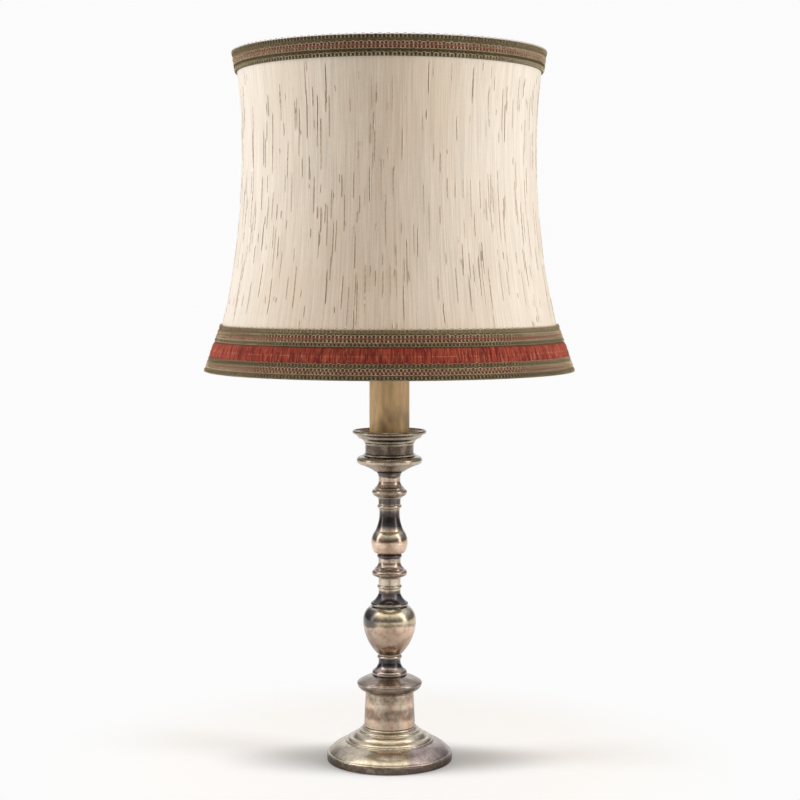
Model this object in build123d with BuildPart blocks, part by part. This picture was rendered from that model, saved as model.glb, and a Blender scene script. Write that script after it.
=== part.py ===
"""A turned candlestick made into a table lamp, with a waisted silk shade.

Millimetres, +Z up. The origin is on the lamp's axis at the surface that it stands on, and
the front is towards -Y. Turned pieces are drawn as half sections, from the top edge down the
outside and back up the inside, and revolved. A positive arc radius is a convex moulding.
"""

import os
from math import atan, cos, degrees, sqrt

from build123d import *

os.makedirs("parts", exist_ok=True)

# ---- heights of the seats where one turned piece stands on the next ----
foot_rim_z = 0.6
drum_z = 29.0
pedestal_cap_z = 57.6
collar_z = 71.9
vase_z = 89.6
vase_cap_z = 129.2
lower_knop_z = 153.6
baluster_z = 173.6
upper_knop_z = 219.8
cup_z = 239.8
pan_z = 264.4
pan_rim_z = 276.1

# ---- widest radii of the turned pieces ----
foot_r = 52.0
drum_foot_r = 21.2
drum_top_r = 19.9
flange_r = 27.0
vase_r = 21.9
knop_r = 14.55
pear_r = 15.05
cup_r = 27.1
neck_band_r = 20.0
pan_r = 30.6
neck_r = 9.1
bead_r = 10.3

# ---- the rod that clamps the stack, and the spigots that centre it ----
rod_r = 5.0
rod_bore_r = 3.6
rod_hole_r = 5.25
rod_bottom_z = 3.0
rod_top_z = 354.0
spigot_r = 7.4
spigot_h = 2.0
recess_r = 7.5
recess_h = 2.3
nut_flats = 14.0
nut_h = 4.0

# ---- underside of the foot ----
felt_r = 46.0
felt_t = 1.2
plate_t = 1.0
plate_recess_r = 46.2
cavity_r = 44.6
foot_ceiling_z = 26.2
weight_r = 40.0
weight_z = 5.0
weight_pocket_r = 13.0
weight_pocket_z = 9.5
washer_r = 11.0
washer_t = 1.5
channel_w = 8.0
bush_z = 4.8
bush_w = 7.6
bush_h = 4.8
bush_bore_w = 5.4
bush_bore_h = 2.8

# ---- candle sleeve and lampholder ----
cup_floor_z = 246.5
sleeve_r = 16.5
sleeve_bore_r = 15.35
sleeve_top_z = 345.0
disc_r = 15.2
disc_t = 3.0
cap_r = 17.4
cap_t = 2.0
holder_z = sleeve_top_z + cap_t
holder_r = 19.4
holder_floor_z = 355.0
holder_seam_z = 366.0
skirt_r = 19.7
skirt_top_z = 400.0
shell_bore_r = 13.4
shell_t = 0.5
thread_play = 0.08

# ---- rings that hold the shade ----
rest_ring_z = 384.0
ring_gap = 0.3
ring_flange_r = 27.5
ring_hub_r = 22.6
ring_flange_t = 1.8
fitter_bore_r = 20.6
fitter_r = 32.0
fitter_t = 1.6
fitter_lip_h = 5.4

# ---- shade: the outer face of the silk ----
shade_bottom_z = 325.5
shade_top_z = 583.0
skirt_joint_z = 361.0
waist_low_z = 500.0
waist_high_z = 518.0
shade_bottom_r = 150.2
shade_joint_r = 137.4
waist_r = 120.15
shade_top_r = 126.0
silk_t = 0.5
liner_t = 0.6
shade_wire_r = 1.6
arm_r = 1.4
arm_count = 3
first_arm_angle = 90.0

# ---- trims: how far each stands out from the silk, and its edges ----
gimp_t = 2.6
velvet_t = 2.2
top_gimp_z = 567.3
velvet_low_z = 334.6
velvet_high_z = 347.3

# ---- bulb: candle shape with a screw cap ----
bulb_tip_z = 477.6
bulb_cap_r = 12.95
bulb_cap_top_z = 400.5
bulb_contact_z = 373.6
bulb_neck_r = 12.2
bulb_r = 16.5
bulb_widest_z = 427.0
glass_t = 0.8


# ---- shapes that several half sections share ----
def bead(root_r, crest_r, high_z, low_z):
    """A half-round bead turned on a neck."""
    middle_z = (high_z + low_z) / 2
    ThreePointArc((root_r, high_z), (crest_r, middle_z), (root_r, low_z))


def dome(tip_z, sphere_r, rim_r, side=1):
    """An arc of a sphere on the axis, from its tip out to rim_r; side is -1 for a tip below."""
    half_drop = sphere_r - sqrt(sphere_r**2 - (rim_r / 2) ** 2)
    drop = sphere_r - sqrt(sphere_r**2 - rim_r**2)
    middle = (rim_r / 2, tip_z - side * half_drop)
    rim = (rim_r, tip_z - side * drop)
    ThreePointArc((0, tip_z), middle, rim)
    return rim


def stack_bore(low_r, low_z, high_z, high_r):
    """The inside of a piece in the stack: spigot below, rod hole through it, recess above."""
    Polyline(
        (low_r, low_z),
        (spigot_r, low_z),
        (spigot_r, low_z - spigot_h),
        (rod_hole_r, low_z - spigot_h),
        (rod_hole_r, high_z - recess_h),
        (recess_r, high_z - recess_h),
        (recess_r, high_z),
        (high_r, high_z),
    )


def ring_section(inner_r, outer_r, low_z, high_z):
    """The half section of a plain washer or tube."""
    with BuildSketch(Plane.XZ) as section:
        with Locations(((inner_r + outer_r) / 2, (low_z + high_z) / 2)):
            Rectangle(outer_r - inner_r, high_z - low_z)
    revolve(section.sketch, axis=Axis.Z)


def wire_ring(ring_r, ring_z, tilt):
    """A hoop of wire, drawn eight-sided with one flat turned to the shade's wall."""
    with BuildSketch(Plane.XZ) as section:
        with Locations((ring_r, ring_z)):
            RegularPolygon(shade_wire_r, 8, major_radius=False, rotation=22.5 + tilt)
    revolve(section.sketch, axis=Axis.Z)


def shade_outline(shift):
    """The shade's side from top to bottom, moved outwards by shift: flared rim, waist, skirt."""
    waist_top = (waist_r + shift, waist_high_z)
    waist_foot = (waist_r + shift, waist_low_z)
    TangentArc(waist_top, (shade_top_r + shift, shade_top_z), tangent=(0, 1))
    Line(waist_top, waist_foot)
    TangentArc(waist_foot, (shade_joint_r + shift, skirt_joint_z), tangent=(0, -1))
    Line((shade_joint_r + shift, skirt_joint_z), (shade_bottom_r + shift, shade_bottom_z))


def shade_layer(inner_shift, outer_shift):
    """One layer of the shade's wall over its whole height."""
    with BuildSketch(Plane.XZ) as section:
        with BuildLine():
            shade_outline(outer_shift)
            shade_outline(inner_shift)
            Line((shade_top_r + inner_shift, shade_top_z), (shade_top_r + outer_shift, shade_top_z))
            Line(
                (shade_bottom_r + inner_shift, shade_bottom_z),
                (shade_bottom_r + outer_shift, shade_bottom_z),
            )
        make_face()
    revolve(section.sketch, axis=Axis.Z)


def skirt_r_at(z):
    """The silk's outer radius on the straight flare below the waist."""
    share = (z - shade_bottom_z) / (skirt_joint_z - shade_bottom_z)
    return shade_bottom_r + share * (shade_joint_r - shade_bottom_r)


# ---- foot: a hollow casting with ring mouldings, a domed apron and a beaded rim ----
with BuildPart() as foot:
    with BuildSketch(Plane.XZ):
        with BuildLine():
            Line((recess_r, drum_z), (21.4, drum_z))
            RadiusArc((21.4, drum_z), (22.6, 27.2), 1.3)
            Line((22.6, 27.2), (23.8, 26.5))
            RadiusArc((23.8, 26.5), (25.4, 24.9), 1.5)
            Line((25.4, 24.9), (25.9, 24.4))
            RadiusArc((25.9, 24.4), (30.2, 20.9), 6.0)
            Line((30.2, 20.9), (30.8, 20.4))
            RadiusArc((30.8, 20.4), (35.0, 18.8), 3.5)
            Polyline((35.0, 18.8), (35.2, 18.3), (36.2, 18.3))
            RadiusArc((36.2, 18.3), (36.8, 17.1), 1.0)
            Line((36.8, 17.1), (37.2, 16.7))
            RadiusArc((37.2, 16.7), (50.2, 8.4), 24.0)
            Line((50.2, 8.4), (50.5, 7.8))
            RadiusArc((50.5, 7.8), (foot_r, 6.2), 1.5)
            Polyline(
                (foot_r, 6.2),
                (foot_r, 1.0),
                (foot_r - 0.4, foot_rim_z),
                (plate_recess_r, foot_rim_z),
                (plate_recess_r, felt_t + plate_t),
                (cavity_r, felt_t + plate_t),
                (cavity_r, 8.0),
                (36.0, 13.4),
                (25.0, 22.0),
                (20.5, foot_ceiling_z),
                (recess_r, foot_ceiling_z),
                (recess_r, drum_z),
            )
        make_face()
    revolve(axis=Axis.Z)
    # the way out for a flat flex, through the back of the rim
    with BuildSketch(Plane.XZ.offset(-cavity_r + 2)):
        with Locations((0, bush_z)):
            SlotOverall(bush_w, bush_h)
    extrude(amount=-(foot_r - cavity_r + 4), mode=Mode.SUBTRACT)
foot.part.label = "foot"

with BuildPart() as felt_pad:
    ring_section(0, felt_r, 0, felt_t)
felt_pad.part.label = "felt_pad"

with BuildPart() as base_plate:
    ring_section(0, felt_r, felt_t, felt_t + plate_t)
base_plate.part.label = "base_plate"

# ---- cast iron weight: fills the foot, with a pocket for the nut and a channel for the flex ----
with BuildPart() as ballast_weight:
    with BuildSketch(Plane.XZ):
        with BuildLine():
            Polyline(
                (rod_hole_r, foot_ceiling_z),
                (18.5, foot_ceiling_z),
                (34.0, 12.4),
                (weight_r, 8.0),
                (weight_r, weight_z),
                (weight_pocket_r, weight_z),
                (weight_pocket_r, weight_pocket_z),
                (rod_hole_r, weight_pocket_z),
                close=True,
            )
        make_face()
    revolve(axis=Axis.Z)
    with BuildSketch(Plane.XY.offset(weight_z)):
        with Locations((0, weight_r / 2 + 1)):
            Rectangle(channel_w, weight_r + 2)
    extrude(amount=weight_pocket_z - weight_z, mode=Mode.SUBTRACT)
ballast_weight.part.label = "ballast_weight"

with BuildPart() as rod_washer:
    ring_section(rod_hole_r, washer_r, weight_pocket_z - washer_t, weight_pocket_z)
rod_washer.part.label = "rod_washer"

with BuildPart() as rod_nut:
    with BuildSketch(Plane.XY.offset(weight_pocket_z - washer_t - nut_h)):
        RegularPolygon(nut_flats / 2, 6, major_radius=False)
        Circle(rod_r, mode=Mode.SUBTRACT)
    extrude(amount=nut_h)
rod_nut.part.label = "rod_nut"

# ---- rubber bush: a slot-shaped sleeve with a collar outside the rim ----
with BuildPart() as cord_bush:
    with BuildSketch(Plane.XZ.offset(-cavity_r + 1)):
        with Locations((0, bush_z)):
            SlotOverall(bush_w, bush_h)
            SlotOverall(bush_bore_w, bush_bore_h, mode=Mode.SUBTRACT)
    extrude(amount=-(foot_r - cavity_r + 3))
    with BuildSketch(Plane.XZ.offset(-foot_r)):
        with Locations((0, bush_z)):
            SlotOverall(bush_w + 1.6, bush_h + 1.2)
            SlotOverall(bush_bore_w, bush_bore_h, mode=Mode.SUBTRACT)
    extrude(amount=-1.2)
cord_bush.part.label = "cord_bush"

# ---- the rod, with the wire way through it ----
with BuildPart() as threaded_rod:
    ring_section(rod_bore_r, rod_r, rod_bottom_z, rod_top_z)
threaded_rod.part.label = "threaded_rod"

# ---- pedestal drum: a tapered tube closed below ----
with BuildPart() as pedestal_drum:
    with BuildSketch(Plane.XZ):
        with BuildLine():
            Polyline(
                (drum_top_r, pedestal_cap_z),
                (drum_foot_r, drum_z + 0.4),
                (drum_foot_r - 0.3, drum_z),
                (spigot_r, drum_z),
                (spigot_r, drum_z - spigot_h),
                (rod_hole_r, drum_z - spigot_h),
                (rod_hole_r, drum_z + 2.8),
                (drum_foot_r - 2.1, drum_z + 2.8),
                (drum_top_r - 2.0, pedestal_cap_z),
                close=True,
            )
        make_face()
    revolve(axis=Axis.Z)
pedestal_drum.part.label = "pedestal_drum"

# ---- pedestal cap: shallow dome, rolled edge and ovolo underneath, hollow inside ----
with BuildPart() as pedestal_cap:
    with BuildSketch(Plane.XZ):
        with BuildLine():
            Line((recess_r, collar_z), (14.4, collar_z))
            RadiusArc((14.4, collar_z), (25.4, 67.2), 40.0)
            Line((25.4, 67.2), (25.6, 66.9))
            RadiusArc((25.6, 66.9), (flange_r, 64.8), 1.9)
            ThreePointArc((flange_r, 64.8), (25.5, 61.6), (21.4, 59.1))
            Line((21.4, 59.1), (20.7, 59.0))
            RadiusArc((20.7, 59.0), (20.1, pedestal_cap_z), 0.9)
            Polyline(
                (20.1, pedestal_cap_z),
                (17.7, pedestal_cap_z),
                (17.7, pedestal_cap_z - spigot_h),
                (16.0, pedestal_cap_z - spigot_h),
                (16.0, 62.5),
                (12.0, 67.6),
                (rod_hole_r, 67.6),
                (rod_hole_r, collar_z - recess_h),
                (recess_r, collar_z - recess_h),
                (recess_r, collar_z),
            )
        make_face()
    revolve(axis=Axis.Z)
pedestal_cap.part.label = "pedestal_cap"

# ---- lower collar: rolled edge, bell, neck and bead ----
with BuildPart() as lower_collar:
    with BuildSketch(Plane.XZ):
        with BuildLine():
            Line((9.5, vase_z), (9.2, 88.4))
            bead(9.2, bead_r, 88.4, 85.7)
            Polyline((9.2, 85.7), (neck_r, 85.5), (neck_r, 83.3))
            RadiusArc((neck_r, 83.3), (12.9, 76.3), -9.0)
            Line((12.9, 76.3), (13.5, 75.9))
            ThreePointArc((13.5, 75.9), (14.5, 74.0), (14.2, collar_z))
            stack_bore(14.2, collar_z, vase_z, 9.5)
        make_face()
    revolve(axis=Axis.Z)
lower_collar.part.label = "lower_collar"

# ---- vase: a hollow urn, open above, where its cap closes it ----
with BuildPart() as vase:
    with BuildSketch(Plane.XZ):
        with BuildLine():
            Line((13.2, vase_cap_z), (16.3, vase_cap_z))
            ThreePointArc((16.3, vase_cap_z), (20.5, 124.2), (vase_r, 117.4))
            ThreePointArc((vase_r, 117.4), (17.8, 100.6), (10.3, 90.1))
            Polyline(
                (10.3, 90.1),
                (9.5, vase_z),
                (spigot_r, vase_z),
                (spigot_r, vase_z - spigot_h),
                (rod_hole_r, vase_z - spigot_h),
                (rod_hole_r, 94.0),
                (9.5, 94.0),
                (13.4, 98.4),
                (16.9, 105.0),
                (19.1, 112.0),
                (19.5, 118.0),
                (18.4, 123.0),
                (15.4, 127.0),
                (13.2, 127.0),
                (13.2, vase_cap_z),
            )
        make_face()
    revolve(axis=Axis.Z)
vase.part.label = "vase"

# ---- vase cap: a bell with a rolled edge, then a beaded neck ----
with BuildPart() as vase_cap:
    with BuildSketch(Plane.XZ):
        with BuildLine():
            Polyline((9.5, lower_knop_z), (9.2, 152.9), (neck_r, 147.6))
            bead(neck_r, bead_r, 147.6, 144.6)
            Line((neck_r, 144.6), (neck_r, 140.4))
            RadiusArc((neck_r, 140.4), (14.3, 133.2), -14.0)
            Line((14.3, 133.2), (14.9, 132.9))
            ThreePointArc((14.9, 132.9), (15.55, 131.5), (14.9, 130.2))
            Polyline(
                (14.9, 130.2),
                (14.3, 130.2),
                (14.3, vase_cap_z),
                (13.0, vase_cap_z),
                (13.0, vase_cap_z - spigot_h),
                (11.0, vase_cap_z - spigot_h),
                (11.0, 131.2),
                (rod_hole_r, 135.0),
                (rod_hole_r, lower_knop_z - recess_h),
                (recess_r, lower_knop_z - recess_h),
                (recess_r, lower_knop_z),
                (9.5, lower_knop_z),
            )
        make_face()
    revolve(axis=Axis.Z)
vase_cap.part.label = "vase_cap"

# ---- lower knop: flared neck, ledge and rounded ring ----
with BuildPart() as lower_knop:
    with BuildSketch(Plane.XZ):
        with BuildLine():
            Line((9.6, baluster_z), (9.4, 173.2))
            bead(9.4, bead_r, 173.2, 170.2)
            Polyline((9.4, 170.2), (9.2, 170.1), (9.2, 167.6))
            RadiusArc((9.2, 167.6), (11.6, 161.8), -7.0)
            Polyline((11.6, 161.8), (12.1, 161.5), (12.3, 160.3))
            ThreePointArc((12.3, 160.3), (knop_r, 157.7), (11.6, 154.8))
            Line((11.6, 154.8), (9.8, lower_knop_z))
            stack_bore(9.8, lower_knop_z, baluster_z, 9.6)
        make_face()
    revolve(axis=Axis.Z)
lower_knop.part.label = "lower_knop"

# ---- baluster: a pear that draws up into a long beaded neck ----
with BuildPart() as baluster:
    with BuildSketch(Plane.XZ):
        with BuildLine():
            Polyline((9.5, upper_knop_z), (9.2, 219.0), (neck_r, 214.5))
            bead(neck_r, 10.15, 214.5, 211.4)
            Polyline((neck_r, 211.4), (8.5, 211.2), (8.45, 209.4))
            ThreePointArc((8.45, 209.4), (9.1, 200.6), (11.8, 192.8))
            ThreePointArc((11.8, 192.8), (pear_r, 182.6), (13.5, 176.4))
            RadiusArc((13.5, 176.4), (10.6, 173.9), 3.4)
            Line((10.6, 173.9), (9.7, baluster_z))
            stack_bore(9.7, baluster_z, upper_knop_z, 9.5)
        make_face()
    revolve(axis=Axis.Z)
baluster.part.label = "baluster"

# ---- upper knop: flared neck, ledge and a sharp-edged ring ----
with BuildPart() as upper_knop:
    with BuildSketch(Plane.XZ):
        with BuildLine():
            Polyline((9.5, cup_z), (9.4, 238.6), (8.95, 237.6), (8.95, 234.2))
            RadiusArc((8.95, 234.2), (11.7, 228.9), -7.0)
            Polyline((11.7, 228.9), (12.2, 228.6), (12.3, 227.4))
            RadiusArc((12.3, 227.4), (knop_r, 225.2), 2.4)
            Line((knop_r, 225.2), (knop_r, 224.6))
            RadiusArc((knop_r, 224.6), (10.8, 221.1), 5.0)
            Line((10.8, 221.1), (9.7, upper_knop_z))
            stack_bore(9.7, upper_knop_z, cup_z, 9.5)
        make_face()
    revolve(axis=Axis.Z)
upper_knop.part.label = "upper_knop"

# ---- candle cup: bead, cavetto, large torus and a plain neck band, bored for the sleeve ----
with BuildPart() as candle_cup:
    with BuildSketch(Plane.XZ):
        with BuildLine():
            Line((neck_band_r, pan_z), (neck_band_r, 257.5))
            RadiusArc((neck_band_r, 257.5), (20.7, 256.4), -1.4)
            Polyline((20.7, 256.4), (21.5, 256.4), (21.5, 255.4), (21.1, 254.6), (21.8, 254.1))
            ThreePointArc((21.8, 254.1), (cup_r, 250.9), (24.6, 248.1))
            RadiusArc((24.6, 248.1), (13.4, 243.0), -44.0)
            Polyline((13.4, 243.0), (12.6, 242.3), (9.8, 241.9))
            bead(9.8, 10.4, 241.9, 240.3)
            Polyline(
                (9.8, 240.3),
                (9.6, cup_z),
                (spigot_r, cup_z),
                (spigot_r, cup_z - spigot_h),
                (rod_hole_r, cup_z - spigot_h),
                (rod_hole_r, cup_floor_z),
                (17.4, cup_floor_z),
                (17.4, 257.6),
                (18.3, 257.6),
                (18.3, pan_z),
                (neck_band_r, pan_z),
            )
        make_face()
    revolve(axis=Axis.Z)
candle_cup.part.label = "candle_cup"

# ---- drip pan: a flared dish with a rolled lip, spigoted into the cup's neck ----
with BuildPart() as drip_pan:
    with BuildSketch(Plane.XZ):
        with BuildLine():
            Line((29.3, pan_rim_z), (30.0, pan_rim_z))
            ThreePointArc((30.0, pan_rim_z), (pan_r, 274.9), (30.0, 273.6))
            Line((30.0, 273.6), (29.2, 273.3))
            RadiusArc((29.2, 273.3), (26.1, 270.5), -4.5)
            Polyline((26.1, 270.5), (25.7, 270.0), (24.7, 269.7))
            RadiusArc((24.7, 269.7), (21.2, 266.6), -4.5)
            Line((21.2, 266.6), (20.1, 266.4))
            bead(20.1, 20.5, 266.4, 264.8)
            Polyline(
                (20.1, 264.8),
                (neck_band_r, pan_z),
                (18.2, pan_z),
                (18.2, 258.0),
                (17.1, 258.0),
                (17.1, 268.6),
                (18.2, 269.2),
            )
            RadiusArc((18.2, 269.2), (28.8, 275.3), 30.0)
            Line((28.8, 275.3), (29.3, pan_rim_z))
        make_face()
    revolve(axis=Axis.Z)
drip_pan.part.label = "drip_pan"

# ---- what holds the sleeve: centring disc, the nut that clamps the stack, and the cap above ----
with BuildPart() as centring_disc:
    ring_section(rod_hole_r, disc_r, cup_floor_z, cup_floor_z + disc_t)
centring_disc.part.label = "centring_disc"

with BuildPart() as stack_nut:
    with BuildSketch(Plane.XY.offset(cup_floor_z + disc_t)):
        RegularPolygon(nut_flats / 2, 6, major_radius=False)
        Circle(rod_r, mode=Mode.SUBTRACT)
    extrude(amount=nut_h)
stack_nut.part.label = "stack_nut"

with BuildPart() as candle_sleeve:
    ring_section(sleeve_bore_r, sleeve_r, cup_floor_z, sleeve_top_z)
candle_sleeve.part.label = "candle_sleeve"

with BuildPart() as sleeve_cap:
    with BuildSketch(Plane.XZ):
        with BuildLine():
            Polyline(
                (rod_hole_r, holder_z),
                (cap_r - 0.8, holder_z),
                (cap_r, sleeve_top_z + 1.0),
                (cap_r, sleeve_top_z),
                (disc_r, sleeve_top_z),
                (disc_r, sleeve_top_z - 4.0),
                (disc_r - 1.2, sleeve_top_z - 4.0),
                (disc_r - 1.2, sleeve_top_z),
                (rod_hole_r, sleeve_top_z),
                close=True,
            )
        make_face()
    revolve(axis=Axis.Z)
sleeve_cap.part.label = "sleeve_cap"

# ---- lampholder: cup, ceramic block, screw shell and a skirt that takes the shade rings ----
with BuildPart() as lampholder_base:
    with BuildSketch(Plane.XZ):
        with BuildLine():
            Polyline((rod_r, holder_z), (8.5, holder_z), (8.5, holder_z + 2.5))
            RadiusArc((8.5, holder_z + 2.5), (holder_r, 358.0), -12.0)
            Polyline(
                (holder_r, 358.0),
                (holder_r, holder_seam_z),
                (17.0, holder_seam_z),
                (17.0, holder_floor_z + 3.0),
                (14.0, holder_floor_z),
                (rod_r, holder_floor_z),
                (rod_r, holder_z),
            )
        make_face()
    revolve(axis=Axis.Z)
lampholder_base.part.label = "lampholder_base"

with BuildPart() as contact_block:
    with BuildSketch(Plane.XZ):
        with BuildLine():
            Polyline(
                (0, holder_seam_z),
                (16.9, holder_seam_z),
                (16.9, holder_floor_z + 3.2),
                (13.8, holder_floor_z),
                (0, holder_floor_z),
                close=True,
            )
        make_face()
    revolve(axis=Axis.Z)
    # two ways for the wires and, across them, two pockets for the terminal screws
    with BuildSketch(Plane.XY.offset(holder_floor_z)):
        with Locations((0, -8.5), (0, 8.5)):
            Circle(1.6)
    extrude(amount=holder_seam_z - holder_floor_z, mode=Mode.SUBTRACT)
    with BuildSketch(Plane.XY.offset(holder_seam_z - 4.0)):
        with Locations((-9.0, 0), (9.0, 0)):
            Circle(2.2)
    extrude(amount=4.0, mode=Mode.SUBTRACT)
contact_block.part.label = "contact_block"

with BuildPart() as terminal_screws:
    with BuildSketch(Plane.XY.offset(holder_seam_z - 4.0)):
        with Locations((-9.0, 0), (9.0, 0)):
            Circle(1.5)
    extrude(amount=2.0)
    with BuildSketch(Plane.XY.offset(holder_seam_z - 2.0)):
        with Locations((-9.0, 0), (9.0, 0)):
            Circle(2.1)
            Rectangle(3.2, 0.6, mode=Mode.SUBTRACT)
    extrude(amount=1.6)
terminal_screws.part.label = "terminal_screws"

with BuildPart() as screw_shell:
    with BuildSketch(Plane.XZ):
        with BuildLine():
            Polyline(
                (shell_bore_r, 396.0),
                (shell_bore_r + shell_t, 396.0),
                (shell_bore_r + shell_t, holder_seam_z + shell_t),
                (16.3, holder_seam_z + shell_t),
                (16.3, holder_seam_z),
                (shell_bore_r, holder_seam_z),
                close=True,
            )
        make_face()
    revolve(axis=Axis.Z)
screw_shell.part.label = "screw_shell"

# ---- centre contact: a bent spring tongue standing on the block ----
with BuildPart() as centre_contact:
    with BuildSketch(Plane.XZ):
        with BuildLine() as tongue:
            FilletPolyline(
                (-6.0, holder_seam_z + 0.25),
                (4.0, holder_seam_z + 0.25),
                (6.5, holder_seam_z + 3.0),
                (0.0, 372.6),
                (-3.0, 372.6),
                radius=1.2,
            )
            offset(amount=0.25)
        make_face()
    extrude(amount=2.5, both=True)
centre_contact.part.label = "centre_contact"

with BuildPart() as lampholder_skirt:
    with BuildSketch(Plane.XZ):
        with BuildLine():
            Polyline(
                (15.2, skirt_top_z),
                (skirt_r - 0.6, skirt_top_z),
                (skirt_r, skirt_top_z - 1.0),
                (skirt_r, holder_seam_z),
                (16.5, holder_seam_z),
                (16.5, skirt_top_z - 3.0),
                (15.2, skirt_top_z - 3.0),
                close=True,
            )
        make_face()
    revolve(axis=Axis.Z)
lampholder_skirt.part.label = "lampholder_skirt"

# ---- the two threaded rings that hold the shade between them ----
with BuildPart() as rest_ring:
    with BuildSketch(Plane.XZ):
        with BuildLine():
            Polyline(
                (skirt_r + thread_play, rest_ring_z),
                (ring_flange_r, rest_ring_z),
                (ring_flange_r, rest_ring_z - ring_flange_t),
                (ring_hub_r, rest_ring_z - ring_flange_t),
                (ring_hub_r, rest_ring_z - 6.0),
                (skirt_r + thread_play, rest_ring_z - 6.0),
                close=True,
            )
        make_face()
    revolve(axis=Axis.Z)
rest_ring.part.label = "rest_ring"

fitter_z = rest_ring_z + ring_gap
nut_ring_z = fitter_z + fitter_t + ring_gap
with BuildPart() as shade_ring_nut:
    with BuildSketch(Plane.XZ):
        with BuildLine():
            Polyline(
                (skirt_r + thread_play, nut_ring_z + 6.0),
                (ring_hub_r, nut_ring_z + 6.0),
                (ring_hub_r, nut_ring_z + ring_flange_t),
                (ring_flange_r, nut_ring_z + ring_flange_t),
                (ring_flange_r, nut_ring_z),
                (skirt_r + thread_play, nut_ring_z),
                close=True,
            )
        make_face()
    revolve(axis=Axis.Z)
shade_ring_nut.part.label = "shade_ring_nut"

# ---- shade frame: lipped fitter ring, arms down to the bottom wire, and the top wire ----
fitter_top_z = fitter_z + fitter_t
with BuildPart() as fitter_ring:
    with BuildSketch(Plane.XZ):
        with BuildLine():
            Polyline(
                (fitter_bore_r, fitter_top_z),
                (fitter_r, fitter_top_z),
                (fitter_r, fitter_top_z - fitter_lip_h),
                (fitter_r - fitter_t, fitter_top_z - fitter_lip_h),
                (fitter_r - fitter_t, fitter_z),
                (fitter_bore_r, fitter_z),
                close=True,
            )
        make_face()
    revolve(axis=Axis.Z)
fitter_ring.part.label = "fitter_ring"

flare = (shade_bottom_r - shade_joint_r) / (skirt_joint_z - shade_bottom_z)
wall_inset = silk_t + liner_t + shade_wire_r / cos(atan(flare)) + 0.1
bottom_wire_z = shade_bottom_z + shade_wire_r
bottom_wire_ring_r = skirt_r_at(bottom_wire_z) - wall_inset
with BuildPart() as bottom_wire:
    wire_ring(bottom_wire_ring_r, bottom_wire_z, degrees(atan(flare)))
bottom_wire.part.label = "bottom_wire"

top_wire_z = shade_top_z - shade_wire_r - 0.4
top_wire_ring_r = shade_top_r - 0.8 - silk_t - liner_t - shade_wire_r
with BuildPart() as top_wire:
    wire_ring(top_wire_ring_r, top_wire_z, 0)
top_wire.part.label = "top_wire"

arm_inner_r = fitter_r - 0.1
arm_outer_r = bottom_wire_ring_r - shade_wire_r + 0.1
arm_z = fitter_top_z - fitter_lip_h / 2
with BuildPart() as spider_arms:
    for number in range(arm_count):
        angle = first_arm_angle + number * 360 / arm_count
        arm_plane = Plane.XZ.rotated((0, 0, angle))
        with BuildLine(arm_plane) as arm_path:
            FilletPolyline(
                (arm_inner_r, arm_z),
                (arm_inner_r + 14.0, arm_z),
                (arm_outer_r - 14.0, bottom_wire_z),
                (arm_outer_r, bottom_wire_z),
                radius=16.0,
            )
        with BuildSketch(Plane(origin=arm_path.line @ 0, z_dir=arm_path.line % 0)):
            Circle(arm_r)
        sweep(path=arm_path.line)
spider_arms.part.label = "spider_arms"

# ---- shade wall: a stiff liner with the silk laid over it ----
with BuildPart() as shade_liner:
    shade_layer(-silk_t - liner_t, -silk_t)
shade_liner.part.label = "shade_liner"

with BuildPart() as shade_fabric:
    shade_layer(-silk_t, 0)
shade_fabric.part.label = "shade_fabric"

# ---- trims: bands that lie on the silk, cut from a layer of the same shape ----
with BuildPart() as top_gimp:
    shade_layer(0, gimp_t)
    split(bisect_by=Plane.XY.offset(top_gimp_z), keep=Keep.TOP)
top_gimp.part.label = "top_gimp"

with BuildPart() as upper_gimp:
    shade_layer(0, gimp_t)
    split(bisect_by=Plane.XY.offset(skirt_joint_z), keep=Keep.BOTTOM)
    split(bisect_by=Plane.XY.offset(velvet_high_z), keep=Keep.TOP)
upper_gimp.part.label = "upper_gimp"

with BuildPart() as velvet_band:
    shade_layer(0, velvet_t)
    split(bisect_by=Plane.XY.offset(velvet_high_z), keep=Keep.BOTTOM)
    split(bisect_by=Plane.XY.offset(velvet_low_z), keep=Keep.TOP)
velvet_band.part.label = "velvet_band"

with BuildPart() as lower_gimp:
    shade_layer(0, gimp_t)
    split(bisect_by=Plane.XY.offset(velvet_low_z), keep=Keep.BOTTOM)
lower_gimp.part.label = "lower_gimp"

# ---- bulb ----
with BuildPart() as bulb_contact:
    with BuildSketch(Plane.XZ):
        with BuildLine():
            rim = dome(bulb_contact_z, 7.6, 4.4, side=-1)
            Polyline((0, bulb_contact_z), (0, 375.6), (4.4, 375.6), rim)
        make_face()
    revolve(axis=Axis.Z)
bulb_contact.part.label = "bulb_contact"

with BuildPart() as bulb_insulator:
    with BuildSketch(Plane.XZ):
        with BuildLine():
            Polyline((0, 379.2), (9.0, 379.2), (9.0, 378.2), (4.9, 375.6), (0, 375.6), close=True)
        make_face()
    revolve(axis=Axis.Z)
bulb_insulator.part.label = "bulb_insulator"

with BuildPart() as bulb_cap:
    with BuildSketch(Plane.XZ):
        with BuildLine():
            Polyline(
                (bulb_cap_r - 0.4, bulb_cap_top_z),
                (bulb_cap_r, bulb_cap_top_z),
                (bulb_cap_r, 382.0),
                (9.4, 378.2),
                (9.0, 378.2),
                (9.0, 379.2),
                (bulb_cap_r - 0.4, 382.4),
                close=True,
            )
        make_face()
    revolve(axis=Axis.Z)
bulb_cap.part.label = "bulb_cap"

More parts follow.
